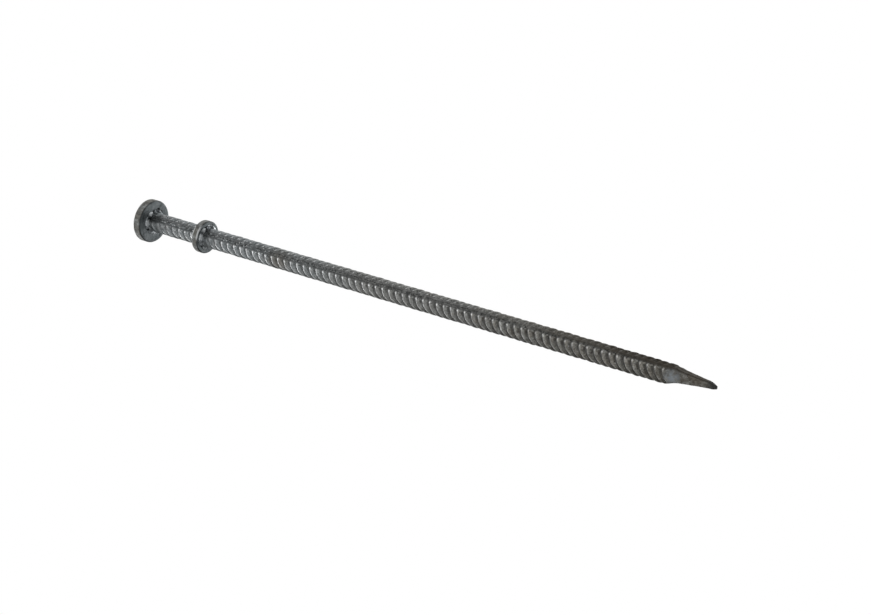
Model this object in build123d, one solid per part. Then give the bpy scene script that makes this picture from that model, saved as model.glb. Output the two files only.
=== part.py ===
"""Post anchor spike: a ribbed steel bar with a forged point, driven through a post base.

A round striking head is welded on the upper end. A smaller stop collar, welded a little
way below it, comes down on the post base and ends the stroke. The spike stands upright as
it is used: +Z runs up the bar, and the origin is the centre of the collar's lower face,
the seat that meets the post base. The bar's two long seams face -Y and +Y, and its two
rows of ribs face -X and +X. Millimetres.
"""
from build123d import *
import math
import os

# Bar
core_diameter = 15.0          # bar between the ribs
overall_length = 610.0        # top of the head to the tip
rib_height = 1.35             # at the middle of a row
rib_width = 4.4               # across the crest, square to the rib; only a narrow groove is left
rib_pitch = 7.3               # from rib to rib along the bar
rib_lean = 30.0               # degrees between a rib and the bar's cross-section
first_rib_depth = 7.6         # first rib's middle below the bar's upper end
last_rib_reach = 12.0         # ribs carry on this far into the point, as far as the flats leave them
rib_end_angle = 18.0          # degrees from a seam's middle to where a rib starts to rise
seam_width = 2.4
seam_height = 0.5

# Forged point
point_length = 51.0
point_turn = 54.0             # degrees from +X to the normal of a flat
shoulder_clearance = 0.1      # flats start this far outside the rib crests
waist_length = 33.0           # from the tip to where the steep first flats end
waist_width = 10.0            # across the flats there
nose_length = 9.0             # from the tip to where the blunt nose starts
nose_width = 5.8
tip_width = 2.2
point_drift = 0.7             # the waist and nose are forged this far off the bar's axis
drift_angle = -24.0           # degrees from +X to the side that they lean to

# Discs
head_diameter = 38.4
head_thickness = 7.8
collar_diameter = 29.2
collar_thickness = 6.4
grip_gap = 58.6               # clear length between the collar and the head
disc_edge_chamfer = 0.6
bore_clearance = 0.35         # between a disc's bore and the rib crests

# Welds
weld_prep = 1.8               # 45 degree chamfer at the mouth of a bore
weld_rise = 1.7               # bead height above the disc's face, at the bar
root_depth = 0.35             # how far a bead melts into the bar
weld_tacks = 3                # separate beads round an underside
tack_span = 92.0              # degrees that a bead runs round the bar
head_tack_turn = -114.0       # degrees from +X to the middle of the head's first bead
collar_tack_turn = -122.0     # the same for the collar

# Radii that follow from the sizes above
core_radius = core_diameter / 2
crest_radius = core_radius + rib_height
bore_radius = crest_radius + bore_clearance

# Heights, from the collar's seat; the bar ends flush with the top of the head
collar_top = collar_thickness
head_underside = collar_top + grip_gap
head_top = head_underside + head_thickness
tip_height = head_top - overall_length
point_start = tip_height + point_length


def bar_core():
    """Plain round bar from the tip to the upper end, with a low seam along each side."""
    length = head_top - tip_height
    middle = (head_top + tip_height) / 2
    bar = Cylinder(core_radius, length)
    seam = Box(seam_width, core_diameter + 2 * seam_height, length)
    return Pos(0, 0, middle) * (bar + seam)


def rib_pair():
    """A leaning slab of the bar's rib outline: one rib on each side, cut off short of the seams."""
    reach = 2 * crest_radius
    span = core_diameter * math.cos(math.radians(rib_end_angle))
    outline = Circle(crest_radius) & Rectangle(2 * reach, span)
    blank = extrude(outline, amount=reach, both=True)
    slab = Rot(X=-rib_lean) * Box(2 * reach, 2 * reach, rib_width)
    return blank & slab


def rib_heights():
    """Height of every rib's middle, from the head down to the last in the point."""
    first = head_top - first_rib_depth
    count = int((first - point_start + last_rib_reach) / rib_pitch) + 1
    return [first - rib_pitch * number for number in range(count)]


def flats_section(height, width, drift):
    """Square outline of the forged point at one height, across the flats."""
    angle = math.radians(drift_angle)
    centre = Pos(drift * math.cos(angle), drift * math.sin(angle), height)
    return centre * Rot(Z=point_turn) * Rectangle(width, width)


def point_envelope():
    """Everything above the point, and the four hollow-forged flats down to a blunt tip."""
    shoulder_width = 2 * (crest_radius + shoulder_clearance)
    sections = [
        flats_section(tip_height, tip_width, 0),
        flats_section(tip_height + nose_length, nose_width, point_drift),
        flats_section(tip_height + waist_length, waist_width, point_drift),
        flats_section(point_start, shoulder_width, 0),
    ]
    stages = [loft(pair, ruled=True) for pair in zip(sections, sections[1:])]
    above_length = head_top - point_start
    above = Pos(0, 0, point_start + above_length / 2) * Rot(Z=point_turn) * Box(
        shoulder_width, shoulder_width, above_length
    )
    return above + stages


def ribbed_shank():
    """The bar, its ribs and its forged point as one solid."""
    rib = rib_pair()
    ribs = [Pos(0, 0, height) * rib for height in rib_heights()]
    return (bar_core() + ribs) & point_envelope()


def disc(diameter, thickness, underside, top_prep):
    """Round disc with a bore for the ribbed bar and a weld chamfer at the bore's mouths."""
    middle = underside + thickness / 2
    blank = Pos(0, 0, middle) * Cylinder(diameter / 2, thickness)
    blank = chamfer(blank.edges().filter_by(GeomType.CIRCLE), disc_edge_chamfer)
    bore = Pos(0, 0, middle) * Cylinder(bore_radius, thickness)
    wide = bore_radius + weld_prep
    lower_mouth = Pos(0, 0, underside + weld_prep / 2) * Cone(wide, bore_radius, weld_prep)
    part = blank - bore - lower_mouth
    if top_prep:
        top = underside + thickness
        part = part - Pos(0, 0, top - weld_prep / 2) * Cone(bore_radius, wide, weld_prep)
    return part


def tack_beads(face_height, first_turn):
    """Separate crowned beads in a bore's lower chamfer, spaced evenly round the bar."""
    inner = core_radius - root_depth
    root = (inner, face_height + weld_prep)
    lip = (bore_radius, face_height + weld_prep)
    toe = (bore_radius + weld_prep, face_height)
    heel = (inner, face_height - weld_rise)
    crown = ((toe[0] + heel[0]) / 2, face_height - weld_rise * 0.85)
    outline = Polyline(heel, root, lip, toe) + ThreePointArc(toe, crown, heel)
    section = Plane.XZ * make_face(outline)
    step = 360 / weld_tacks
    beads = []
    for number in range(weld_tacks):
        start = first_turn - tack_span / 2 + step * number
        beads.append(Rot(Z=start) * revolve(section, Axis.Z, tack_span))
    return Compound(children=beads)


def head_top_bead():
    """Ring of weld that fills the upper chamfer of the head and is ground flush with it."""
    inner = core_radius - root_depth
    section = Plane.XZ * make_face(
        Polyline(
            (inner, head_top),
            (bore_radius + weld_prep, head_top),
            (bore_radius, head_top - weld_prep),
            (inner, head_top - weld_prep),
            close=True,
        )
    )
    return revolve(section, Axis.Z)


nodes = {
    "ribbed_shank": ribbed_shank(),
    "striking_head": disc(head_diameter, head_thickness, head_underside, True),
    "stop_collar": disc(collar_diameter, collar_thickness, 0, False),
    "head_top_weld": head_top_bead(),
    "head_underside_weld": tack_beads(head_underside, head_tack_turn),
    "collar_weld": tack_beads(0, collar_tack_turn),
}

os.makedirs("parts", exist_ok=True)
for name, shape in nodes.items():
    export_step(shape, f"parts/{name}.step")
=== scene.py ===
"""Post anchor spike: a ribbed steel bar with a forged point, a striking head and a stop collar.

The spike stands upright on its point, as it is used: +Z runs up the bar, and the origin is
the centre of the collar's lower face. Every length is in metres.
"""

import logging
import math
import random
from dataclasses import dataclass, field
from enum import Enum
from typing import Optional, Sequence

import bmesh
import bpy
from mathutils import Matrix, Quaternion, Vector, noise


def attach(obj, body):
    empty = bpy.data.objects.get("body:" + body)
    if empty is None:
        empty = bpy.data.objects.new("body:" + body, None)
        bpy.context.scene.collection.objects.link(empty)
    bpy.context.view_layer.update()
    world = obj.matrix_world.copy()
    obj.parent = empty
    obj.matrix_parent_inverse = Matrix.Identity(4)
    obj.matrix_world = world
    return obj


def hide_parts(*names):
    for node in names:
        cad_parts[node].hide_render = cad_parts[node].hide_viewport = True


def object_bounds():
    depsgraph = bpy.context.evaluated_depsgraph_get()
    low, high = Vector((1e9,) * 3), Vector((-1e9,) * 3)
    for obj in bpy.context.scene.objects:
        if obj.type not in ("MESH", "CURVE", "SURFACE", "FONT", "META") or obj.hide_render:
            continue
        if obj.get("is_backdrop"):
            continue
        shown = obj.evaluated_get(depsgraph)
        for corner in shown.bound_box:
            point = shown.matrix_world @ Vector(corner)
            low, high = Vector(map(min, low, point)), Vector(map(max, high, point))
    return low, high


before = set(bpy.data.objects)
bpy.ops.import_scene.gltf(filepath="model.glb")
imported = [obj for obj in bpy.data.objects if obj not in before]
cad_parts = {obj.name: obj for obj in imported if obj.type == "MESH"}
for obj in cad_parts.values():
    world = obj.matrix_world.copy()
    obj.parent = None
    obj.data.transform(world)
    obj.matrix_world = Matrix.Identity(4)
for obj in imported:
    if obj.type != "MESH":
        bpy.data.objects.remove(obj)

log = logging.getLogger("spike")

MM = 0.001
TAU = 2 * math.pi
BODY = "spike"
RAGGED = 0.9                              # how far a spot's border wanders, as a share of its width
Colour = tuple[float, float, float]
Place = tuple[float, float, float]


class Slot(Enum):
    """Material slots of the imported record."""

    BAR = "bar_steel"
    DISC = "disc_steel"
    WELD = "weld_metal"


class Join(Enum):
    """How a graph combines two values."""

    ADD = "ADD"
    SUBTRACT = "SUBTRACT"
    MULTIPLY = "MULTIPLY"
    GREATER = "MAXIMUM"


@dataclass(frozen=True)
class Mottle:
    """A cloudy pattern cut to a mask that fades from one share to another."""

    cell_mm: float                        # size of the largest blotches
    low: float                            # pattern value where the mask starts to change
    high: float                           # pattern value where it has changed fully
    least: float = 0.0                    # mask at the low value
    most: float = 1.0                     # mask at the high value
    detail: float = 4.0                   # octaves of finer detail
    rough: float = 0.55                   # strength of the finer detail
    stretch: Place = (1.0, 1.0, 1.0)      # extra scale along each axis


@dataclass(frozen=True)
class Specks:
    """Scattered round specks, each fading out between two distances from its middle."""

    spacing_mm: float
    outer: float                          # shares of the spacing
    inner: float


@dataclass(frozen=True)
class Fade:
    """How a feature comes and goes along the bar."""

    start: float                          # heights above the tip
    end: float
    least: float = 0.0                    # share of the feature at the start
    most: float = 1.0                     # share at the end


@dataclass(frozen=True)
class Relief:
    """A fine unevenness of a surface."""

    cell_mm: float                        # size of its largest bumps
    detail: float
    rough: float
    depth_mm: float
    strength: float


def smooth_step(low: float, high: float, value: float) -> float:
    """Rise smoothly from 0 to 1 as a value passes from one edge to the other.

    Args:
        low: value where the rise starts.
        high: value where the rise is complete; it may be below low.
        value: the value to place.

    Returns:
        A share from 0 to 1.
    """
    share = min(1.0, max(0.0, (value - low) / (high - low)))
    return share * share * (3 - 2 * share)


def even_step(low: float, high: float, value: float) -> float:
    """Rise from 0 to 1 at a nearly even slope, as a rolled flank does.

    Args:
        low: value where the rise starts.
        high: value where the rise is complete; it may be below low.
        value: the value to place.

    Returns:
        A share from 0 to 1.
    """
    straight = min(1.0, max(0.0, (value - low) / (high - low)))
    return 0.7 * straight + 0.3 * smooth_step(low, high, value)


def soft_min(first: float, second: float, blend: float) -> float:
    """Return the smaller of two lengths, rounded over where they are nearly equal.

    Args:
        first: one length.
        second: the other length.
        blend: difference under which the two are rounded into each other.

    Returns:
        The rounded minimum.
    """
    overlap = max(0.0, blend - abs(first - second)) / blend
    return min(first, second) - overlap * overlap * blend / 4


def finish_piece(mesh: bmesh.types.BMesh, name: str, node: str) -> bpy.types.Object:
    """Turn a bmesh into a smooth-shaded piece that rides on the spike.

    Args:
        mesh: the finished shape, which is freed.
        name: name of the new piece.
        node: CAD node that the piece stands for.

    Returns:
        The new object.
    """
    data = bpy.data.meshes.new(name)
    for face in mesh.faces:
        face.smooth = True
    mesh.to_mesh(data)
    mesh.free()
    piece = bpy.data.objects.new(name, data)
    bpy.context.scene.collection.objects.link(piece)
    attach(piece, BODY)
    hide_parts(node)
    return piece


class ShaderGraph:
    """A small builder for one material's nodes."""

    def __init__(self, name: str) -> None:
        """Start a material that holds a Principled surface.

        Args:
            name: name of the material.
        """
        self.material = bpy.data.materials.new(name)
        self.material.use_nodes = True
        self.tree = self.material.node_tree
        self.shader = self.tree.nodes["Principled BSDF"]

    def link(self, source: bpy.types.NodeSocket, target: bpy.types.NodeSocket) -> None:
        """Join two sockets."""
        self.tree.links.new(source, target)

    def feed(self, socket: bpy.types.NodeSocket, value: object) -> None:
        """Link a socket to another, or set its own value.

        Args:
            socket: the input to feed.
            value: a socket, a number, a vector or a colour.
        """
        if isinstance(value, bpy.types.NodeSocket):
            self.link(value, socket)
        elif isinstance(value, tuple) and len(value) == 3 and socket.type == "RGBA":
            socket.default_value = (*value, 1.0)
        else:
            socket.default_value = value

    def place(self, scale: Place = (1.0, 1.0, 1.0)) -> bpy.types.NodeSocket:
        """Return the piece's Object coordinates, stretched along its axes."""
        coordinates = self.tree.nodes.new("ShaderNodeTexCoord")
        mapping = self.tree.nodes.new("ShaderNodeMapping")
        mapping.inputs["Scale"].default_value = scale
        self.link(coordinates.outputs["Object"], mapping.inputs["Vector"])
        return mapping.outputs["Vector"]

    def noise(self, cell_mm: float, detail: float, rough: float = 0.55,
              stretch: Place = (1.0, 1.0, 1.0)) -> bpy.types.NodeSocket:
        """Cloudy pattern from 0 to 1.

        Args:
            cell_mm: size of the largest blotches, in millimetres.
            detail: octaves of finer detail.
            rough: strength of the finer detail.
            stretch: extra scale along each axis.

        Returns:
            The pattern's value.
        """
        node = self.tree.nodes.new("ShaderNodeTexNoise")
        self.link(self.place(stretch), node.inputs["Vector"])
        node.inputs["Scale"].default_value = 1 / (cell_mm * MM)
        node.inputs["Detail"].default_value = detail
        node.inputs["Roughness"].default_value = rough
        return node.outputs["Fac"]

    def mottle(self, look: Mottle) -> bpy.types.NodeSocket:
        """Return a cloudy pattern's mask."""
        cloud = self.noise(look.cell_mm, look.detail, look.rough, look.stretch)
        return self.span(cloud, look.low, look.high, look.least, look.most)

    def specks(self, look: Specks) -> bpy.types.NodeSocket:
        """Return the mask of scattered specks: 1 in each speck's middle and 0 between them."""
        node = self.tree.nodes.new("ShaderNodeTexVoronoi")
        self.link(self.place(), node.inputs["Vector"])
        node.inputs["Scale"].default_value = 1 / (look.spacing_mm * MM)
        return self.span(node.outputs["Distance"], look.outer, look.inner)

    def fade(self, height: bpy.types.NodeSocket, tip: float, look: Fade) -> bpy.types.NodeSocket:
        """Return a feature's share at each height, above a tip at the height given."""
        return self.span(height, tip + look.start, tip + look.end, look.least, look.most)

    def axis(self, letter: str) -> bpy.types.NodeSocket:
        """Return one of the piece's Object coordinates, in metres."""
        split = self.tree.nodes.new("ShaderNodeSeparateXYZ")
        self.link(self.place(), split.inputs["Vector"])
        return split.outputs[letter]

    def near(self, centre: Place, inner: float, outer: float) -> bpy.types.NodeSocket:
        """Mask one spot on a piece: 1 close to a place and 0 away from it, with a ragged border.

        Args:
            centre: the place, in metres.
            inner: distance up to which the mask is full.
            outer: distance where it ends.

        Returns:
            The mask.
        """
        node = self.tree.nodes.new("ShaderNodeVectorMath")
        node.operation = "DISTANCE"
        self.link(self.place(), node.inputs[0])
        node.inputs[1].default_value = centre
        border = outer - inner
        blotch_mm = (inner + outer) / 3 / MM
        ragged = self.both(self.noise(blotch_mm, 4), border * RAGGED)
        away = self.math(Join.ADD, node.outputs["Value"], ragged)
        shift = border * RAGGED / 2
        return self.span(away, outer + shift, inner + shift)

    def both(self, first: object, second: object) -> bpy.types.NodeSocket:
        """Multiply two masks."""
        return self.math(Join.MULTIPLY, first, second)

    def attribute(self, name: str) -> bpy.types.NodeSocket:
        """Return a value that the mesh stores on its points."""
        node = self.tree.nodes.new("ShaderNodeAttribute")
        node.attribute_name = name
        return node.outputs["Fac"]

    def span(self, value: object, low: float, high: float,
             start: float = 0.0, end: float = 1.0) -> bpy.types.NodeSocket:
        """Map a range of a value onto another range, smoothly and clamped.

        Args:
            value: socket or number to map.
            low: value that becomes start.
            high: value that becomes end.
            start: result at low.
            end: result at high.

        Returns:
            The mapped value.
        """
        node = self.tree.nodes.new("ShaderNodeMapRange")
        node.interpolation_type = "SMOOTHSTEP"
        for socket, number in zip(node.inputs, (value, low, high, start, end)):
            self.feed(socket, number)
        return node.outputs["Result"]

    def math(self, how: Join, first: object, second: object) -> bpy.types.NodeSocket:
        """Combine two values.

        Args:
            how: the way to combine them.
            first: socket or number.
            second: socket or number.

        Returns:
            The result.
        """
        node = self.tree.nodes.new("ShaderNodeMath")
        node.operation = how.value
        self.feed(node.inputs[0], first)
        self.feed(node.inputs[1], second)
        return node.outputs["Value"]

    def mix(self, share: object, under: object, over: object) -> bpy.types.NodeSocket:
        """Lay one colour over another.

        Args:
            share: how much of the second colour shows.
            under: first colour.
            over: second colour.

        Returns:
            The mixed colour.
        """
        node = self.tree.nodes.new("ShaderNodeMix")
        node.data_type = "RGBA"
        colour_inputs = [socket for socket in node.inputs if socket.type == "RGBA"]
        self.feed(node.inputs["Factor"], share)
        for socket, colour in zip(colour_inputs, (under, over)):
            self.feed(socket, colour)
        return next(socket for socket in node.outputs if socket.type == "RGBA")

    def ramp(self, value: object, stops: Sequence[tuple[float, Colour]]) -> bpy.types.NodeSocket:
        """Turn a value into a colour.

        Args:
            value: socket from 0 to 1.
            stops: place and colour of each stop, in order.

        Returns:
            The colour.
        """
        node = self.tree.nodes.new("ShaderNodeValToRGB")
        elements = node.color_ramp.elements
        while len(elements) < len(stops):
            elements.new(0.5)
        for element, (place, colour) in zip(elements, stops):
            element.position = place
            element.color = (*colour, 1.0)
        self.feed(node.inputs["Fac"], value)
        return node.outputs["Color"]

    def relief(self, look: Relief, below: Optional[bpy.types.NodeSocket] = None) -> bpy.types.NodeSocket:
        """Make a surface uneven.

        Args:
            look: the relief.
            below: normal of a coarser relief that this one lies on.

        Returns:
            The normal.
        """
        node = self.tree.nodes.new("ShaderNodeBump")
        node.inputs["Distance"].default_value = look.depth_mm * MM
        node.inputs["Strength"].default_value = look.strength
        self.link(self.noise(look.cell_mm, look.detail, look.rough), node.inputs["Height"])
        if below is not None:
            self.link(below, node.inputs["Normal"])
        return node.outputs["Normal"]


@dataclass(frozen=True)
class BarFinish:
    """Hot-rolled bar with a thin zinc coat that wears to brownish scale toward the point."""

    zinc: Colour = (0.275, 0.298, 0.306)
    steel: Colour = (0.25, 0.253, 0.242)
    scale: Colour = (0.212, 0.209, 0.188)
    rust: Colour = (0.16, 0.134, 0.098)
    burnt: Colour = (0.078, 0.068, 0.054)
    # darkest colour: dirt, and painted shade in the grooves, along the seams and at rib ends
    grime: Colour = (0.03, 0.031, 0.031)
    # white of the painted highlights on flanks, rib ends and seams
    worn: Colour = (0.86, 0.87, 0.88)
    pale: Colour = (0.44, 0.445, 0.44)
    forge_blue: Colour = (0.235, 0.26, 0.285)
    metallic: float = 0.9

    # From scale at the tip to zinc at the head: shares of the bar's length, moved by slow clouds.
    scale_to: float = 0.12
    steel_from: float = 0.35
    steel_to: float = 0.6
    zinc_from: float = 0.85
    cloud_mm: float = 38.0
    cloud_shift: float = 0.2

    pale_clouds: Mottle = Mottle(4.5, 0.45, 0.68, 0.0, 0.5, 5, 0.62)
    rust_mm: float = 9.0
    rust_level_top: float = 0.68          # pattern value above which rust shows, at the head
    rust_level_tip: float = 0.47          # and at the tip
    rust_border: float = 0.1
    rust_share: float = 0.42
    stain_place: Place = (-0.0058, -0.0060, -0.089)
    stain_inner: float = 2 * MM
    stain_outer: float = 18 * MM
    stain_share: float = 0.55
    scabs: Mottle = Mottle(3.4, 0.47, 0.64, 0.0, 0.75, 5, 0.7)
    flecks: Mottle = Mottle(2.1, 0.58, 0.7, 0.0, 0.7, 4, 0.65)
    scabby: Fade = Fade(387.2 * MM, 117.2 * MM)

    # Painted light: highlights on the headward flanks, rib ends and seams, and shade in the grooves, along
    # the seams and at rib ends; also dirt and pits.
    hollow: float = 0.4                   # share of a rib's height below which the grooves get painted shade
    hollow_share: float = 0.6
    # painted shade, with some dirt, along the seams
    seam_shade_and_dirt: Mottle = Mottle(3.5, 0.3, 0.6, 0.3, 0.75)
    # painted highlight on the headward flanks, which are also polished
    flank_sheen_and_polish: Mottle = Mottle(2.2, 0.3, 0.55, 0.55, 1.0, 3)
    # how strongly the painted highlights show along the bar
    painted_highlight_fade: Fade = Fade(140 * MM, 537.2 * MM, 0.2, 0.95)
    crest_dirt: Mottle = Mottle(1.5, 0.42, 0.6, 0.0, 0.3, 4, 0.65)
    # painted highlight specks on the rib ends
    rib_end_highlight_specks: Specks = Specks(2.1, 0.3, 0.12)
    # painted shadow spots at the rib ends and along the seams
    end_shadow_spots: Mottle = Mottle(1.7, 0.5, 0.59, 0.0, 0.85, 4, 0.65)
    # painted glint specks along the seams
    seam_glint_specks: Specks = Specks(2.4, 0.26, 0.13)
    seam_sparkle: Fade = Fade(317.2 * MM, 517.2 * MM, 0.0, 0.6)
    pits: Specks = Specks(3.1, 0.2, 0.08)
    pitted: Mottle = Mottle(9.0, 0.48, 0.6, 0.0, 1.0, 2)

    # The forged point: burnt above, bluish on the facing flat and dark at its end.
    upper_burn: Mottle = Mottle(5.0, 0.3, 0.62, 0.35, 0.95, 5, 0.62)
    upper_reach: Fade = Fade(280 * MM, 60 * MM)
    streaks: Mottle = Mottle(2.6, 0.4, 0.66, 0.1, 0.75, 5, 0.65, (1.0, 1.0, 0.35))
    forged: Fade = Fade(75 * MM, 45 * MM)
    blue_place: Place = (-0.0044, -0.0040, -0.4990)
    blue_inner: float = 1.5 * MM
    blue_outer: float = 9.5 * MM
    blue_patches: Mottle = Mottle(3.2, 0.36, 0.56, 0.2, 0.8, 4, 0.6)
    dark_end: Fade = Fade(11 * MM, 2 * MM, 0.0, 0.85)

    roughness: Mottle = Mottle(3.0, 0.3, 0.75, 0.28, 0.47, 5, 0.65)
    rubbed_polish: float = 0.11           # roughness that rubbing takes off a flank
    tip_dullness: float = 0.13            # roughness that the tip has more than the head
    upper_matt: Fade = Fade(200 * MM, 50 * MM, 0.0, 0.35)
    rolled_relief: Relief = Relief(2.4, 3, 0.5, 0.2, 0.7)
    grain_relief: Relief = Relief(0.7, 4, 0.65, 0.08, 0.7)

    def coat(self, g: ShaderGraph, height: bpy.types.NodeSocket,
             tip: float, top: float) -> bpy.types.NodeSocket:
        """Colour of the rolled surface: zinc at the head, scale toward the point, mottled and stained.

        Args:
            g: the graph to add to.
            height: height along the bar.
            tip: height of the tip.
            top: height of the bar's upper end.

        Returns:
            The colour.
        """
        cloud = g.noise(self.cloud_mm, 3, 0.6, (1.0, 1.0, 0.45))
        shift = g.both(g.math(Join.SUBTRACT, cloud, 0.5), self.cloud_shift)
        along = g.math(Join.ADD, g.span(height, tip, top), shift)
        base = g.ramp(along, (
            (self.scale_to, self.scale), (self.steel_from, self.steel),
            (self.steel_to, self.steel), (self.zinc_from, self.zinc),
        ))
        base = g.mix(g.mottle(self.pale_clouds), base, self.pale)
        rust_level = g.span(height, top, tip, self.rust_level_top, self.rust_level_tip)
        above = g.math(Join.SUBTRACT, g.noise(self.rust_mm, 5, 0.65), rust_level)
        base = g.mix(g.span(above, 0.0, self.rust_border, 0.0, self.rust_share), base, self.rust)
        stain = g.near(self.stain_place, self.stain_inner, self.stain_outer)
        base = g.mix(g.both(stain, self.stain_share), base, self.rust)
        scabby = g.fade(height, tip, self.scabby)
        base = g.mix(g.both(g.mottle(self.scabs), scabby), base, self.burnt)
        return g.mix(g.both(g.mottle(self.flecks), scabby), base, self.pale)

    def wear(self, g: ShaderGraph, base: object, flank_sheen_and_polish: bpy.types.NodeSocket,
             height: bpy.types.NodeSocket, tip: float) -> bpy.types.NodeSocket:
        """Rub the ribs bright and fill the hollows and seams with dirt.

        Args:
            g: the graph to add to.
            base: colour of the rolled surface.
            flank_sheen_and_polish: mask of the headward flanks that get the painted highlight and less
                roughness.
            height: height along the bar.
            tip: height of the tip.

        Returns:
            The colour.
        """
        seam, ends = g.attribute("seam"), g.attribute("ends")
        # painted shade in the grooves between the ribs
        hollow = g.span(g.attribute("crest"), self.hollow, 0.0, 0.0, self.hollow_share)
        base = g.mix(hollow, base, self.grime)
        # painted shade and dirt along the seams
        base = g.mix(g.both(seam, g.mottle(self.seam_shade_and_dirt)), base, self.grime)
        # painted highlight on the headward flanks
        painted_highlight_fade = g.fade(height, tip, self.painted_highlight_fade)
        base = g.mix(g.both(flank_sheen_and_polish, painted_highlight_fade), base, self.worn)
        covered = g.math(Join.GREATER, g.attribute("flank"), seam)
        between = g.math(Join.SUBTRACT, 1.0, covered)
        base = g.mix(g.both(between, g.mottle(self.crest_dirt)), base, self.grime)
        # painted highlight specks on the rib ends
        base = g.mix(g.both(g.both(ends, g.specks(self.rib_end_highlight_specks)), painted_highlight_fade), base, self.worn)
        # painted shadow spots at the rib ends and along the seams
        edges = g.math(Join.GREATER, seam, ends)
        base = g.mix(g.both(g.mottle(self.end_shadow_spots), edges), base, self.grime)
        # painted glints along the seams, stronger toward the head
        glints = g.both(g.both(g.specks(self.seam_glint_specks), seam), g.fade(height, tip, self.seam_sparkle))
        base = g.mix(glints, base, self.worn)
        return g.mix(g.both(g.specks(self.pits), g.mottle(self.pitted)), base, self.grime)

    def point(self, g: ShaderGraph, base: object, height: bpy.types.NodeSocket,
              tip: float) -> bpy.types.NodeSocket:
        """Colour the forged point: burnt on top, bluish on the facing flat and dark at its end.

        Args:
            g: the graph to add to.
            base: colour of the rolled surface.
            height: height along the bar.
            tip: height of the tip.

        Returns:
            The colour.
        """
        upper = g.both(g.attribute("upper"), g.fade(height, tip, self.upper_reach))
        base = g.mix(g.both(upper, g.mottle(self.upper_burn)), base, self.burnt)
        base = g.mix(g.both(g.fade(height, tip, self.forged), g.mottle(self.streaks)), base, self.burnt)
        blue = g.near(self.blue_place, self.blue_inner, self.blue_outer)
        base = g.mix(g.both(blue, g.mottle(self.blue_patches)), base, self.forge_blue)
        return g.mix(g.fade(height, tip, self.dark_end), base, self.grime)

    def material(self, tip: float, top: float) -> bpy.types.Material:
        """Build the bar's material.

        Args:
            tip: height of the tip.
            top: height of the bar's upper end.

        Returns:
            The material.
        """
        g = ShaderGraph("bar_steel_rolled")
        height = g.axis("Z")
        # headward flanks that get a painted highlight and less roughness
        flank_sheen_and_polish = g.both(g.attribute("flank"), g.mottle(self.flank_sheen_and_polish))
        base = self.coat(g, height, tip, top)
        base = self.wear(g, base, flank_sheen_and_polish, height, tip)
        g.feed(g.shader.inputs["Base Color"], self.point(g, base, height, tip))
        g.shader.inputs["Metallic"].default_value = self.metallic
        rough = g.math(Join.SUBTRACT, g.mottle(self.roughness), g.both(flank_sheen_and_polish, self.rubbed_polish))
        dull = g.span(height, top, tip, 0.0, self.tip_dullness)
        matt = g.both(g.attribute("upper"), g.fade(height, tip, self.upper_matt))
        g.feed(g.shader.inputs["Roughness"], g.math(Join.ADD, rough, g.math(Join.ADD, dull, matt)))
        g.feed(g.shader.inputs["Normal"], g.relief(self.grain_relief, g.relief(self.rolled_relief)))
        return g.material


@dataclass(frozen=True)
class DiscFinish:
    """Thin zinc over cut plate: blue-grey mottled faces and browner rims, with painted shade in the crevice
    by the weld.
    """

    name: str
    # places where the shade of the crevice by the weld is painted
    pits: tuple[Place, ...]
    glint: Optional[Place] = None         # where the edge catches the light, if it does
    face: Colour = (0.225, 0.252, 0.26)
    bright: Colour = (0.42, 0.45, 0.46)
    rim: Colour = (0.17, 0.166, 0.15)
    grime: Colour = (0.022, 0.026, 0.028)
    glint_white: Colour = (0.85, 0.87, 0.88)
    # colour of the painted crevice shade
    crevice_shade_black: Colour = (0.004, 0.005, 0.005)
    pit_inner: float = 1.3 * MM
    pit_outer: float = 2.6 * MM
    glint_inner: float = 3.5 * MM
    glint_outer: float = 9 * MM
    metallic: float = 0.85
    glint_metallic: float = 0.25
    bright_clouds: Mottle = Mottle(7.0, 0.42, 0.68, 0.0, 0.6, 5, 0.65)
    dark_clouds: Mottle = Mottle(6.0, 0.5, 0.7, 0.0, 0.6, 5, 0.65)
    shear_marks: Mottle = Mottle(2.2, 0.42, 0.68, 0.0, 0.5, 4, 0.65, (1.0, 1.0, 0.35))
    edge_start: float = 0.3
    edge_share: float = 0.5
    roughness: Mottle = Mottle(2.2, 0.3, 0.75, 0.4, 0.62, 5, 0.65)
    plate_relief: Relief = Relief(3.2, 3, 0.5, 0.25, 0.6)
    grain_relief: Relief = Relief(0.7, 4, 0.6, 0.09, 0.6)

    def material(self) -> bpy.types.Material:
        """Build the disc's material."""
        g = ShaderGraph(self.name)
        rim, edge = g.attribute("rim"), g.attribute("edge")
        base = g.mix(rim, self.face, self.rim)
        base = g.mix(g.mottle(self.bright_clouds), base, self.bright)
        base = g.mix(g.mottle(self.dark_clouds), base, self.grime)
        base = g.mix(g.both(g.mottle(self.shear_marks), rim), base, self.grime)
        base = g.mix(g.span(edge, self.edge_start, 1.0, 0.0, self.edge_share), base, self.grime)
        metallic = self.metallic
        if self.glint:
            spot = g.both(g.near(self.glint, self.glint_inner, self.glint_outer), edge)
            base = g.mix(spot, base, self.glint_white)
            metallic = g.span(spot, 0.0, 1.0, self.metallic, self.glint_metallic)
        # paint the crevice's shade at each given place
        for pit in self.pits:
            base = g.mix(g.near(pit, self.pit_inner, self.pit_outer), base, self.crevice_shade_black)
        g.feed(g.shader.inputs["Base Color"], base)
        g.feed(g.shader.inputs["Metallic"], metallic)
        g.feed(g.shader.inputs["Roughness"], g.mottle(self.roughness))
        g.feed(g.shader.inputs["Normal"], g.relief(self.grain_relief, g.relief(self.plate_relief)))
        return g.material


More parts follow.
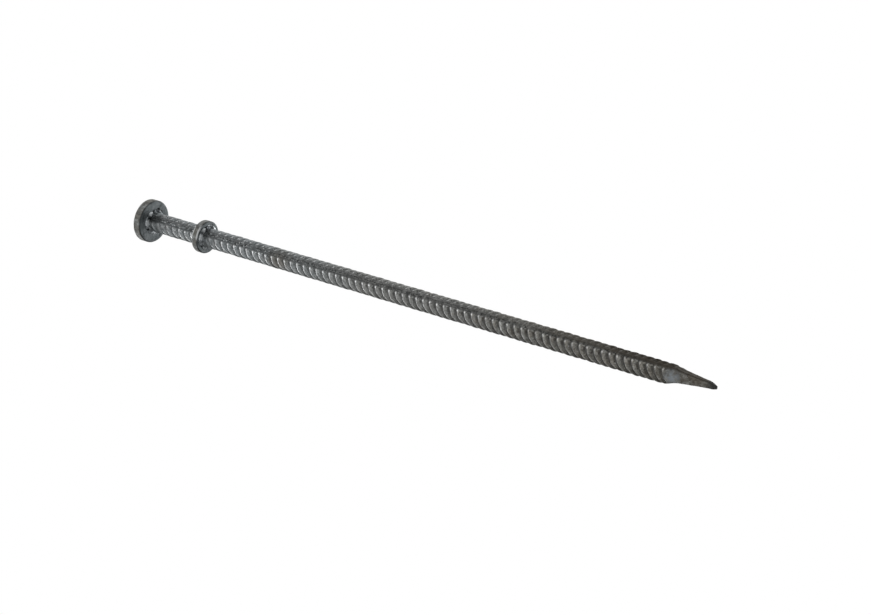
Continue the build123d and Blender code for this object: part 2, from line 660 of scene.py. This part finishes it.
@dataclass(frozen=True)
class WeldFinish:
    """Weld metal in patches of bright metal, grey skin and dark slag, with painted highlights and dark spots
    of slag and painted crevice shade.
    """

    # dark spots on the beads: slag, and painted shade of the crevice by the bore
    pits: tuple[Place, ...] = (
        (0.0098, -0.0034, 0.0635),
        (-0.0014, -0.0096, 0.0636),
        (0.0085, -0.0032, -0.0015),
        (-0.0013, -0.0094, -0.0014),
    )
    # places of painted highlights on the beads
    weld_glints: tuple[Place, ...] = (
        (-0.0064, -0.0070, 0.0632),
        (0.0024, -0.0092, 0.0634),
        (0.0018, -0.0092, -0.0016),
        (-0.0052, -0.0078, -0.0018),
    )
    bright: Colour = (0.86, 0.9, 0.92)
    skin: Colour = (0.36, 0.39, 0.41)
    slag: Colour = (0.02, 0.024, 0.028)
    patch_mm: float = 2.0
    slag_to: float = 0.36                 # pattern values at which slag, skin and bright metal meet
    skin_from: float = 0.42
    skin_to: float = 0.52
    bright_from: float = 0.6
    pit_inner: float = 1.5 * MM
    pit_outer: float = 4.5 * MM
    pit_share: float = 0.85
    weld_glint_inner: float = 1.6 * MM
    weld_glint_outer: float = 4.2 * MM
    metallic: float = 0.9
    glint_metal_loss: float = 0.7               # how much less metallic a painted highlight is, so that it shows bright white
    least_metallic: float = 0.2
    rough_slag: float = 0.5
    rough_bright: float = 0.26
    grain_relief: Relief = Relief(0.7, 3, 0.6, 0.12, 0.7)

    def material(self) -> bpy.types.Material:
        """Build the weld metal's material."""
        g = ShaderGraph("weld_metal_bead")
        patches = g.noise(self.patch_mm, 4, 0.6)
        base = g.ramp(patches, (
            (self.slag_to, self.slag), (self.skin_from, self.skin),
            (self.skin_to, self.skin), (self.bright_from, self.bright),
        ))
        # dark spots of slag and painted crevice shade
        for pit in self.pits:
            spot = g.near(pit, self.pit_inner, self.pit_outer)
            base = g.mix(g.both(spot, self.pit_share), base, self.slag)
        metallic = self.metallic
        # paint a bright highlight spot at each given place
        for weld_glint in self.weld_glints:
            spot = g.near(weld_glint, self.weld_glint_inner, self.weld_glint_outer)
            base = g.mix(spot, base, self.bright)
            metallic = g.math(Join.SUBTRACT, metallic, g.both(spot, self.glint_metal_loss))
        g.feed(g.shader.inputs["Base Color"], base)
        g.feed(g.shader.inputs["Metallic"], g.math(Join.GREATER, metallic, self.least_metallic))
        g.feed(g.shader.inputs["Roughness"], g.span(patches, 0.4, 0.65, self.rough_slag, self.rough_bright))
        g.feed(g.shader.inputs["Normal"], g.relief(self.grain_relief))
        return g.material


@dataclass
class ForgedPoint:
    """Four hollow-forged flats that draw the bar down to a blunt tip."""

    tip: float
    length: float = 51 * MM
    turn: float = math.radians(54)
    waist_from_tip: float = 33 * MM
    waist: float = 5.0 * MM
    nose_from_tip: float = 9 * MM
    nose: float = 2.9 * MM
    blunt: float = 1.1 * MM
    mouth: float = 9.1 * MM
    drift: float = 0.7 * MM
    drift_angle: float = math.radians(-24)
    starts: tuple[float, ...] = (0.0, 3 * MM, 0.5 * MM, 7 * MM)
    late_from: float = 0.6                # share of the waist's height where late flats part
    flare: float = 1.15                   # power by which the shoulder opens toward the bar
    nose_power: float = 0.65              # power by which the nose opens from the tip
    corner: float = 0.5 * MM              # rounding where two flats meet
    edge_on: float = 0.05                 # a flat seen more edge-on than this sets no limit

    def half_width(self, above_tip: float) -> float:
        """Half the distance across the flats at a height above the tip.

        Args:
            above_tip: height above the tip.

        Returns:
            Half the width, or more than the bar's where the flats haven't started.
        """
        if above_tip > self.waist_from_tip:
            share = (above_tip - self.waist_from_tip) / (self.length - self.waist_from_tip)
            return self.waist + (self.mouth - self.waist) * share ** self.flare
        if above_tip > self.nose_from_tip:
            share = (above_tip - self.nose_from_tip) / (self.waist_from_tip - self.nose_from_tip)
            return self.nose + (self.waist - self.nose) * share
        share = above_tip / self.nose_from_tip
        return self.blunt + (self.nose - self.blunt) * max(0.0, share) ** self.nose_power

    def limit(self, height: float, angle: float) -> float:
        """Greatest radius that the flats leave at a height, in one direction.

        Args:
            height: height in the spike's frame.
            angle: direction round the bar, from +X.

        Returns:
            The radius.
        """
        above_tip = height - self.tip
        drift = self.drift * smooth_step(0, self.nose_from_tip, above_tip)
        drift *= smooth_step(self.length, self.waist_from_tip, above_tip)
        radius = self.length
        for number, late in enumerate(self.starts):
            normal = self.turn + number * TAU / 4
            facing = math.cos(angle - normal)
            if facing > self.edge_on:
                late_share = smooth_step(self.waist_from_tip * self.late_from, self.length, above_tip)
                lifted = above_tip + late * late_share
                width = self.half_width(lifted) + drift * math.cos(normal - self.drift_angle)
                radius = soft_min(radius, width / facing, self.corner)
        return radius


@dataclass
class RibbedShank:
    """One length of ribbed bar with a forged point."""

    top: float = 72.8 * MM
    length: float = 610 * MM
    core: float = 7.5 * MM
    rib_height: float = 1.35 * MM
    rib_pitch: float = 7.3 * MM
    rib_lean: float = math.radians(30)
    first_rib_depth: float = 6.9 * MM
    rib_end_head: float = math.radians(21)      # from a seam to a rib's end, near the head
    rib_end_tip: float = math.radians(6)        # and near the point
    end_steepening: float = 0.3                 # how much steeper the ends rise near the point
    end_rounding: float = 0.4 * MM
    head_root: float = 3.5 * MM                 # from a rib's middle to its foot, on the headward side
    head_crest: float = 1.55 * MM               # and to the edge of its crest
    tip_crest: float = 2.3 * MM                 # the same on the side toward the point
    tip_root: float = 3.6 * MM
    crest_worn_head: float = 0.5 * MM           # how far wear moves each edge of the crest
    crest_worn_tip: float = 0.7 * MM
    crest_tilt: float = 0.1                     # how much lower the crest is at its headward edge
    tilt_end: float = 1.9 * MM                  # from the rib's middle to where it is full
    crest_dome: float = 0.12                    # how much a worn crest is rounded
    dome_middle: float = 0.9 * MM
    dome_least: float = 0.5
    flank_border: float = 0.5 * MM              # how softly the band of the headward flank, which gets the painted highlight, begins and ends
    rib_share_mean: float = 0.95                # of the full height, with two waves that vary the ribs
    rib_waves: tuple[tuple[float, float], ...] = ((0.07, 2.3), (0.04, 5.1))
    rib_gain_tip: float = 0.1
    square_below_head: float = 12 * MM          # length over which the rings start to lean
    square_above_tip: float = 22 * MM           # height above the tip up to which they don't lean
    twist: float = math.radians(23)
    twist_power: float = 1.6
    start_twist: float = math.radians(-3)
    upper_side: float = math.radians(-36)       # direction of the side that burnt most
    seam_half: float = 1.2 * MM
    seam_height: float = 0.5 * MM
    seam_foot: float = 0.5 * MM                 # how far the seam's sides slope out and in
    seam_shoulder: float = 0.3 * MM
    seam_band: tuple[float, float] = (0.38, 0.14)    # sideways shares between which the seam's painted shade, painted glints and dirt fade in
    upper_band: tuple[float, float] = (0.6, 0.78)    # shares towards the burnt side, likewise
    seam_crest: float = 0.6                     # how far the seam counts as a crest
    crest_reach: float = 1.6                    # how early a rib's end counts as its crest
    rough_head: float = 0.075 * MM
    rough_gain_tip: float = 0.13 * MM
    grain_per_mm: float = 0.19
    grain_radius: float = 9.0                   # radius that the grain is read at, in millimetres
    flat_edge: float = 0.3 * MM                 # rounding between the bar and the flats
    rings: int = 1250
    sides: int = 72
    finish: BarFinish = field(default_factory=BarFinish)

    def __post_init__(self) -> None:
        """Work out the heights that follow from the sizes."""
        self.tip = self.top - self.length
        self.point = ForgedPoint(self.tip)
        self.point_start = self.tip + self.point.length

    def worn_share(self, height: float) -> float:
        """How far a height lies from the crisp end at the head toward the rounder end at the point."""
        return smooth_step(self.top - 60 * MM, self.tip + 60 * MM, height)

    def rib_outline(self, angle: float, height: float) -> float:
        """Height that a rib may have in one direction: full across its row, cut off short of the seams.

        Args:
            angle: direction round the bar, from the rolled pattern's own +X.
            height: height along the bar; the ribs run closer to the seams toward the point.

        Returns:
            The greatest rise above the core.
        """
        end = self.rib_end_head + (self.rib_end_tip - self.rib_end_head) * self.worn_share(height)
        cut = self.core * math.cos(end) / max(0.01, abs(math.sin(angle)))
        rise = (cut - self.core) * (1 + self.end_steepening * self.worn_share(height))
        return max(0.0, soft_min(self.rib_height, rise, self.end_rounding))

    def turned(self, height: float) -> float:
        """Angle that the rolled pattern has turned by at a height, from the mill's slight twist."""
        return self.start_twist + self.twist * max(0.0, (self.top - height) / self.length) ** self.twist_power

    def rib_share(self, ring_height: float) -> tuple[float, float]:
        """Place a height within the rib pattern.

        Args:
            ring_height: height along the bar, before the pattern leans.

        Returns:
            The rib's share of its full height, and the mask of its headward flank, which gets the painted
            highlight.
        """
        phase = (self.top - self.first_rib_depth - ring_height) / self.rib_pitch
        offset = (phase - round(phase)) * self.rib_pitch
        number = round(phase)
        worn = self.worn_share(ring_height)
        vary = self.rib_share_mean + self.rib_gain_tip * worn
        vary += sum(swing * math.sin(number * step) for swing, step in self.rib_waves)
        border = self.flank_border
        headward = smooth_step(-self.head_root, -self.head_root + border, offset)
        headward *= smooth_step(-self.head_crest + border, -self.head_crest - 0.4 * border, offset)
        if offset < 0:
            share = even_step(-self.head_root, -self.head_crest + self.crest_worn_head * worn, offset)
        else:
            share = smooth_step(self.tip_root, self.tip_crest - self.crest_worn_tip * worn, offset)
        tilt = 1 - self.crest_tilt * (1 - smooth_step(-self.head_crest, self.tilt_end, offset))
        dome = 1 - self.crest_dome * worn * ((offset - self.dome_middle) / self.tip_crest) ** 2
        return share * vary * tilt * max(self.dome_least, dome), headward

    def lean_share(self, ring_height: float) -> float:
        """How fully the ring at a height leans: fully at the ribs, not at the bar's two ends."""
        below_head = smooth_step(self.top, self.top - self.square_below_head, ring_height)
        above_point = smooth_step(self.tip + self.square_above_tip, self.point_start - 2 * MM, ring_height)
        return below_head * above_point

    def seam_share(self, angle: float) -> float:
        """How much of the seam's height stands in one direction."""
        sideways = self.core * abs(math.cos(angle))
        return smooth_step(self.seam_half + self.seam_foot, self.seam_half - self.seam_shoulder, sideways)

    def lathe(self) -> bmesh.types.BMesh:
        """Spin a plain closed bar, with even rings for the ribs to be raised from."""
        mesh = bmesh.new()
        corners = ((0, self.top), (self.core, self.top), (self.core, self.tip), (0, self.tip))
        verts = [mesh.verts.new((radius, 0, height)) for radius, height in corners]
        edges = [mesh.edges.new(pair) for pair in zip(verts, verts[1:])]
        bmesh.ops.subdivide_edges(mesh, edges=[edges[0], edges[2]], cuts=5)
        bmesh.ops.subdivide_edges(mesh, edges=[edges[1]], cuts=self.rings - 1)
        bmesh.ops.spin(
            mesh, geom=mesh.verts[:] + mesh.edges[:], cent=(0, 0, 0), axis=(0, 0, 1),
            angle=TAU, steps=self.sides, use_merge=True,
        )
        bmesh.ops.remove_doubles(mesh, verts=mesh.verts[:], dist=0.001 * MM)
        return mesh

    def raise_ribs(self, mesh: bmesh.types.BMesh) -> None:
        """Lean the rings, raise ribs and seams from them and press the point's flats.

        Args:
            mesh: the plain bar, which is changed.
        """
        names = ("crest", "flank", "seam", "ends", "upper")
        crest, flank, seams, ends, upper = [mesh.verts.layers.float.new(name) for name in names]
        slope = math.tan(self.rib_lean)
        for vert in mesh.verts:
            place = vert.co.copy()
            inward = math.hypot(place.x, place.y) / self.core
            angle = math.atan2(place.y, place.x)
            ring = place.z
            local = angle - self.turned(ring)
            share, headward = self.rib_share(ring)
            outline = self.rib_outline(local, ring)
            rise = outline * share
            seam = self.seam_height * self.seam_share(local)
            lean = -slope * self.core * math.sin(local) * self.lean_share(ring) * inward
            height = min(self.top, ring + lean)
            around = Vector((math.cos(angle), math.sin(angle), 0)) * self.grain_radius
            grain = (around + Vector((0, 0, height / MM))) * self.grain_per_mm
            depth = self.rough_head + self.rough_gain_tip * self.worn_share(ring)
            rough = depth * noise.fractal(grain, 1.0, 2.0, 3)
            radius = self.core + max(rise, seam) + rough
            limit = self.point.limit(height, angle) + rough
            on_flat = smooth_step(self.flat_edge, -self.flat_edge, limit - radius)
            radius = soft_min(radius, limit, self.flat_edge)
            vert.co = Vector((math.cos(angle), math.sin(angle), 0)) * radius * inward
            vert.co.z = height
            part = outline / self.rib_height
            full = min(1.0, part * self.crest_reach)
            off_flat = 1 - on_flat
            # crest is low in the grooves, which get painted shade
            vert[crest] = max(on_flat, share * full, self.seam_share(local) * self.seam_crest)
            # flank marks the headward flanks, which get the painted highlight
            vert[flank] = headward * full * off_flat
            # seams marks the seams, which get painted shade, painted glints and dirt
            vert[seams] = smooth_step(*self.seam_band, abs(math.cos(local))) * off_flat
            # ends marks the rib ends, which get painted highlight specks and painted shadow spots
            vert[ends] = 4 * part * (1 - part) * share * off_flat
            vert[upper] = smooth_step(*self.upper_band, math.cos(angle - self.upper_side))

    def build(self) -> bpy.types.Object:
        """Make the bar and dress it."""
        mesh = self.lathe()
        self.raise_ribs(mesh)
        bmesh.ops.recalc_face_normals(mesh, faces=mesh.faces[:])
        piece = finish_piece(mesh, "ribbed_bar", "ribbed_shank")
        piece.data.materials.append(self.finish.material(self.tip, self.top))
        return piece


@dataclass
class SteelDisc:
    """Round plate disc with a bore for the bar and a weld chamfer at the bore's mouths."""

    name: str
    node: str
    radius: float
    underside: float
    thickness: float
    top_prep: bool
    finish: DiscFinish
    bore: float = 9.2 * MM
    prep: float = 1.8 * MM
    edge: float = 0.9 * MM
    sides: int = 160
    bump_cell: float = 4.5 * MM           # size of the plate's largest uneven patches
    rim_bumps: float = 0.09 * MM
    face_bumps: float = 0.035 * MM

    def outline(self, mesh: bmesh.types.BMesh) -> list[bmesh.types.BMEdge]:
        """Draw the disc's section as a closed loop, from the bore's lower mouth round to it."""
        low, high = self.underside, self.underside + self.thickness
        upper_mouth = [(self.bore + self.prep, high), (self.bore, high - self.prep)]
        corners = [
            (self.bore, low + self.prep), (self.bore + self.prep, low),
            (self.radius, low), (self.radius, high),
        ] + (upper_mouth if self.top_prep else [(self.bore, high)])
        verts = [mesh.verts.new((radius, 0, height)) for radius, height in corners]
        return [mesh.edges.new(pair) for pair in zip(verts, verts[1:] + verts[:1])]

    def weather(self, mesh: bmesh.types.BMesh) -> None:
        """Mark rims and worn edges, and make the cut plate slightly uneven.

        Args:
            mesh: the disc, which is changed.
        """
        rim = mesh.verts.layers.float.new("rim")
        edge = mesh.verts.layers.float.new("edge")
        middle = self.underside + self.thickness / 2
        for vert in mesh.verts:
            radial = math.hypot(vert.co.x, vert.co.y)
            from_rim = self.radius - radial
            from_face = self.thickness / 2 - abs(vert.co.z - middle)
            off_edge = smooth_step(-0.1 * MM, 0.5 * MM, from_face)
            vert[rim] = smooth_step(0.6 * MM, 0.1 * MM, from_rim) * off_edge
            near = max(from_rim, from_face)
            vert[edge] = smooth_step(1.5 * self.edge, 0.6 * self.edge, near)
            bumps = noise.fractal(vert.co / self.bump_cell, 1.0, 2.0, 3)
            if from_rim < 2 * self.edge:
                vert.co += Vector((vert.co.x, vert.co.y, 0)).normalized() * bumps * self.rim_bumps
            elif from_face < 0.05 * MM:
                vert.co.z += math.copysign(bumps * self.face_bumps, vert.co.z - middle)

    def build(self) -> bpy.types.Object:
        """Make the disc and dress it."""
        mesh = bmesh.new()
        edges = self.outline(mesh)
        bmesh.ops.spin(
            mesh, geom=mesh.verts[:] + edges, cent=(0, 0, 0), axis=(0, 0, 1),
            angle=TAU, steps=self.sides, use_merge=True,
        )
        bmesh.ops.remove_doubles(mesh, verts=mesh.verts[:], dist=0.001 * MM)
        bmesh.ops.recalc_face_normals(mesh, faces=mesh.faces[:])
        outer = [
            e for e in mesh.edges
            if all(abs(math.hypot(v.co.x, v.co.y) - self.radius) < 0.01 * MM for v in e.verts)
            and abs(e.verts[0].co.z - e.verts[1].co.z) < 0.01 * MM
        ]
        bmesh.ops.bevel(
            mesh, geom=outer, offset=self.edge, affect="EDGES", segments=4, profile=0.5, material=-1,
        )
        radial = [
            e for e in mesh.edges
            if abs(math.hypot(*e.verts[0].co.xy) - math.hypot(*e.verts[1].co.xy)) > 2 * MM
        ]
        bmesh.ops.subdivide_edges(mesh, edges=radial, cuts=8, use_grid_fill=True)
        upright = [e for e in mesh.edges if abs(e.verts[0].co.z - e.verts[1].co.z) > 2.2 * MM]
        bmesh.ops.subdivide_edges(mesh, edges=upright, cuts=6, use_grid_fill=True)
        self.weather(mesh)
        piece = finish_piece(mesh, self.name, self.node)
        piece.data.materials.append(self.finish.material())
        return piece


@dataclass
class WeldBeads:
    """Separate rippled beads in the lower chamfer of a disc's bore, with spatter beside them."""

    name: str
    node: str
    face: float
    first_turn: float
    seed: int
    finish: bpy.types.Material
    ring: float = 9.3 * MM
    size: float = 1.75 * MM
    tacks: int = 3
    span: float = math.radians(108)
    steps: int = 96
    section: int = 14
    taper_power: int = 5                  # how suddenly a bead's ends taper
    least_taper: float = 0.12
    ripples: int = 11
    ripple_swell: float = 0.17
    lump_swell: float = 0.16
    lump_cell: float = 1.7 * MM
    widening: float = 0.3                 # how much wider than round a bead's section is
    flattening: float = 0.8
    spatter: int = 34
    spatter_reach: float = 0.62           # to each side of a bead's middle, as a share of its span
    spatter_gap: float = 1.5 * MM         # from the beads' ring to the nearest drops
    spatter_spread_mm: float = 1.3
    drop_mm: tuple[float, float] = (0.14, 0.42)
    drop_squash: tuple[float, float] = (0.45, 0.8)

    def bead(self, mesh: bmesh.types.BMesh, middle: float, number: int) -> None:
        """Lay one bead round the bar.

        Args:
            mesh: mesh to add to.
            middle: direction of the bead's middle, from +X.
            number: which bead it is, so that each has its own ripples.
        """
        start = middle - self.span / 2
        turn = Matrix.Rotation(start, 4, "Z")
        place = turn @ Matrix.Translation((self.ring, 0, self.face)) @ Matrix.Rotation(math.pi / 2, 4, "X")
        made = bmesh.ops.create_circle(mesh, segments=self.section, radius=self.size, matrix=place)
        loop = {e for v in made["verts"] for e in v.link_edges}
        old = set(mesh.verts) - set(made["verts"])
        spun = bmesh.ops.spin(
            mesh, geom=made["verts"] + list(loop), cent=(0, 0, 0), axis=(0, 0, 1),
            angle=self.span, steps=self.steps,
        )
        last = [g for g in spun["geom_last"] if isinstance(g, bmesh.types.BMEdge)]
        bmesh.ops.edgeloop_fill(mesh, edges=list(loop))
        bmesh.ops.edgeloop_fill(mesh, edges=last)
        for vert in [v for v in mesh.verts if v not in old]:
            self.ripple(vert, start, number)

    def ripple(self, vert: bmesh.types.BMVert, start: float, number: int) -> None:
        """Taper a bead's ends and give it overlapping ripples.

        Args:
            vert: a vertex of the bead.
            start: direction where the bead starts.
            number: which bead it is.
        """
        angle = math.atan2(vert.co.y, vert.co.x)
        along = ((angle - start) % TAU) / self.span
        along = min(1.0, along if along < 1.5 else 0.0)
        outward = Vector((math.cos(angle), math.sin(angle), 0))
        centre = outward * self.ring + Vector((0, 0, self.face))
        arm = vert.co - centre
        taper = max(self.least_taper, math.sqrt(max(0.0, 1 - abs(2 * along - 1) ** self.taper_power)))
        lag = arm.dot(outward) / self.size
        wave = (along * self.ripples + 0.16 * lag * lag + number * 0.37) % 1.0
        lump = noise.noise(vert.co / self.lump_cell + Vector((number * 7, 0, 0)))
        swell = 1 + self.ripple_swell * (wave - 0.5) + self.lump_swell * lump
        arm += outward * arm.dot(outward) * self.widening
        arm.z *= self.flattening
        vert.co = centre + arm * taper * swell

    def scatter(self, mesh: bmesh.types.BMesh) -> None:
        """Stick small drops of spatter to the face round the beads.

        Args:
            mesh: mesh to add to.
        """
        dice = random.Random(self.seed)
        for _ in range(self.spatter):
            tack = dice.randrange(self.tacks)
            aside = dice.uniform(-self.spatter_reach, self.spatter_reach) * self.span
            angle = self.first_turn + tack * TAU / self.tacks + aside
            away = self.ring + self.spatter_gap + abs(dice.gauss(0, self.spatter_spread_mm)) * MM
            size = dice.uniform(*self.drop_mm) * MM
            spot = Matrix.Rotation(angle, 4, "Z") @ Matrix.Translation((away, 0, self.face))
            squat = Matrix.Diagonal((1, 1, dice.uniform(*self.drop_squash), 1))
            bmesh.ops.create_icosphere(mesh, subdivisions=1, radius=size, matrix=spot @ squat)

    def build(self) -> bpy.types.Object:
        """Make the beads and their spatter as one piece."""
        mesh = bmesh.new()
        for number in range(self.tacks):
            self.bead(mesh, self.first_turn + number * TAU / self.tacks, number)
        self.scatter(mesh)
        bmesh.ops.recalc_face_normals(mesh, faces=mesh.faces[:])
        piece = finish_piece(mesh, self.name, self.node)
        piece.data.materials.append(self.finish)
        return piece


@dataclass
class GroundWeld:
    """Weld ring in the head's upper chamfer, ground flush with the top."""

    top: float
    finish: bpy.types.Material
    inner: float = 7.4 * MM
    outer: float = 11.0 * MM
    depth: float = 1.8 * MM
    sides: int = 120

    def build(self) -> bpy.types.Object:
        """Make the ring and dress it."""
        mesh = bmesh.new()
        corners = (
            (self.inner, self.top), (self.outer, self.top),
            (self.outer - self.depth, self.top - self.depth), (self.inner, self.top - self.depth),
        )
        verts = [mesh.verts.new((radius, 0, height)) for radius, height in corners]
        edges = [mesh.edges.new(pair) for pair in zip(verts, verts[1:] + verts[:1])]
        bmesh.ops.spin(
            mesh, geom=verts + edges, cent=(0, 0, 0), axis=(0, 0, 1),
            angle=TAU, steps=self.sides, use_merge=True,
        )
        bmesh.ops.remove_doubles(mesh, verts=mesh.verts[:], dist=0.001 * MM)
        bmesh.ops.recalc_face_normals(mesh, faces=mesh.faces[:])
        piece = finish_piece(mesh, "ground_weld_ring", "head_top_weld")
        piece.data.materials.append(self.finish)
        return piece


@dataclass(frozen=True)
class Glow:
    """One soft round patch of light on the studio's dome."""

    towards: Place
    inner_degrees: float
    outer_degrees: float
    strength: float


@dataclass
class Studio:
    """Pale floor, a soft dome of light and the camera."""

    aim: Vector = field(default_factory=lambda: Vector((-0.0015, 0.0021, -0.2572)))
    azimuth: float = math.radians(-24)
    elevation: float = math.radians(-35.04)
    distance: float = 2.442
    roll: float = math.radians(-73.5)
    lens: float = 120.65
    backdrop: float = 1.0
    ground_side: float = 0.14             # brightness of the dome's lower and upper parts
    sky_side: float = 0.34
    dome_from: float = -0.6               # upward share of the directions between which it changes
    dome_to: float = 0.1
    floor_half: float = 6.0
    floor_colour: Colour = (0.86, 0.86, 0.86)
    floor_roughness: float = 0.9
    glows: tuple[Glow, ...] = (
        Glow((-0.14, 0.34, 0.93), 4, 28, 7.0),
        Glow((0.14, -0.02, 0.99), 5, 30, 2.2),
        Glow((-0.10, -0.46, 0.88), 5, 34, 0.9),
        Glow((0.78, -0.20, 0.58), 6, 34, 0.65),
        Glow((0.60, 0.60, -0.05), 14, 50, 1.5),
        Glow((0.90, -0.44, 0.02), 8, 34, 1.1),
        Glow((-0.78, -0.60, -0.30), 8, 40, 0.6),
        Glow((-0.62, -0.75, 0.2), 20, 80, 0.22),
    )

    def camera(self) -> None:
        """Aim the camera at the bar from below and beside it, rolled so that the bar lies across."""
        data = bpy.data.cameras.new("camera")
        data.lens = self.lens
        data.sensor_width = 36
        data.clip_start, data.clip_end = 0.05, 50
        camera = bpy.data.objects.new("camera", data)
        bpy.context.scene.collection.objects.link(camera)
        flat = math.cos(self.elevation)
        back = Vector((
            math.sin(self.azimuth) * flat, -math.cos(self.azimuth) * flat, math.sin(self.elevation),
        ))
        camera.location = self.aim + back * self.distance
        upright = (-back).to_track_quat("-Z", "Y")
        camera.rotation_mode = "QUATERNION"
        camera.rotation_quaternion = Quaternion(back, self.roll) @ upright
        bpy.context.scene.camera = camera

    def build(self) -> None:
        """Make the floor, the light and the camera."""
        self.camera()
        self.dome()
        self.floor()
        bpy.context.scene.view_settings.view_transform = "Standard"

    def glow(self, tree: bpy.types.NodeTree, facing: bpy.types.NodeSocket,
             patch: Glow) -> bpy.types.NodeSocket:
        """Brightness that one patch adds in each direction.

        Args:
            tree: the world's node tree.
            facing: direction from the spike to the dome.
            patch: the patch of light.

        Returns:
            The brightness.
        """
        dot = tree.nodes.new("ShaderNodeVectorMath")
        dot.operation = "DOT_PRODUCT"
        tree.links.new(facing, dot.inputs[0])
        dot.inputs[1].default_value = Vector(patch.towards).normalized()
        fade = tree.nodes.new("ShaderNodeMapRange")
        fade.interpolation_type = "SMOOTHSTEP"
        tree.links.new(dot.outputs["Value"], fade.inputs["Value"])
        fade.inputs["From Min"].default_value = math.cos(math.radians(patch.outer_degrees))
        fade.inputs["From Max"].default_value = math.cos(math.radians(patch.inner_degrees))
        fade.inputs["To Max"].default_value = patch.strength
        return fade.outputs["Result"]

    def dome(self) -> None:
        """Surround the spike with a soft pale dome that looks white behind it."""
        world = bpy.data.worlds.new("studio")
        bpy.context.scene.world = world
        world.use_nodes = True
        tree = world.node_tree
        facing = tree.nodes.new("ShaderNodeTexCoord").outputs["Generated"]
        split = tree.nodes.new("ShaderNodeSeparateXYZ")
        tree.links.new(facing, split.inputs["Vector"])
        rise = tree.nodes.new("ShaderNodeMapRange")
        rise.interpolation_type = "SMOOTHSTEP"
        tree.links.new(split.outputs["Z"], rise.inputs["Value"])
        for name, number in (("From Min", self.dome_from), ("From Max", self.dome_to),
                             ("To Min", self.ground_side), ("To Max", self.sky_side)):
            rise.inputs[name].default_value = number
        total = rise.outputs["Result"]
        for patch in self.glows:
            add = tree.nodes.new("ShaderNodeMath")
            tree.links.new(total, add.inputs[0])
            tree.links.new(self.glow(tree, facing, patch), add.inputs[1])
            total = add.outputs["Value"]
        light = tree.nodes["Background"]
        light.inputs["Color"].default_value = (1, 1, 1, 1)
        tree.links.new(total, light.inputs["Strength"])
        white = tree.nodes.new("ShaderNodeBackground")
        white.inputs["Color"].default_value = (1, 1, 1, 1)
        white.inputs["Strength"].default_value = self.backdrop
        path = tree.nodes.new("ShaderNodeLightPath")
        mix = tree.nodes.new("ShaderNodeMixShader")
        tree.links.new(path.outputs["Is Camera Ray"], mix.inputs["Fac"])
        tree.links.new(light.outputs["Background"], mix.inputs[1])
        tree.links.new(white.outputs["Background"], mix.inputs[2])
        tree.links.new(mix.outputs["Shader"], tree.nodes["World Output"].inputs["Surface"])

    def floor(self) -> None:
        """Lay a pale floor under the point that is clear from below and throws no light back."""
        low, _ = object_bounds()
        mesh = bmesh.new()
        level = Matrix.Translation((0, 0, low.z))
        bmesh.ops.create_grid(mesh, x_segments=1, y_segments=1, size=self.floor_half, matrix=level)
        data = bpy.data.meshes.new("floor")
        mesh.to_mesh(data)
        mesh.free()
        floor = bpy.data.objects.new("floor", data)
        bpy.context.scene.collection.objects.link(floor)
        floor.visible_glossy = floor.visible_diffuse = floor.visible_shadow = False
        graph = ShaderGraph("pale_floor")
        graph.feed(graph.shader.inputs["Base Color"], self.floor_colour)
        graph.feed(graph.shader.inputs["Roughness"], self.floor_roughness)
        clear = graph.tree.nodes.new("ShaderNodeBsdfTransparent")
        side = graph.tree.nodes.new("ShaderNodeNewGeometry")
        mix = graph.tree.nodes.new("ShaderNodeMixShader")
        graph.link(side.outputs["Backfacing"], mix.inputs["Fac"])
        graph.link(graph.shader.outputs["BSDF"], mix.inputs[1])
        graph.link(clear.outputs["BSDF"], mix.inputs[2])
        graph.link(mix.outputs["Shader"], graph.tree.nodes["Material Output"].inputs["Surface"])
        data.materials.append(graph.material)
        floor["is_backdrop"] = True


def main() -> None:
    """Build every piece in order, then the studio."""
    logging.basicConfig(level=logging.INFO, format="%(message)s")
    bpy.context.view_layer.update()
    weld = WeldFinish().material()
    shank = RibbedShank()
    # Each disc's places are where the crevice by its weld gets painted shade; the collar also gets a painted
    # glint on its edge.
    head_finish = DiscFinish("head_plate", ((0.0108, -0.0038, 0.065), (0.0112, 0.0006, 0.065)))
    collar_finish = DiscFinish("collar_plate", ((0.0100, -0.0028, 0.0),), (-0.0046, -0.0136, 0.0))
    pieces = [
        shank.build(),
        SteelDisc("head_disc", "striking_head", 19.2 * MM, 65 * MM, 7.8 * MM, True, head_finish).build(),
        SteelDisc("collar_disc", "stop_collar", 14.6 * MM, 0.0, 6.4 * MM, False, collar_finish).build(),
        GroundWeld(shank.top, weld).build(),
        WeldBeads("head_beads", "head_underside_weld", 65 * MM, math.radians(-114), 3, weld).build(),
        WeldBeads("collar_beads", "collar_weld", 0.0, math.radians(-122), 8, weld).build(),
    ]
    for piece in pieces:
        log.info("%s: %d faces", piece.name, len(piece.data.polygons))
    Studio().build()


if __name__ == "__main__":
    main()
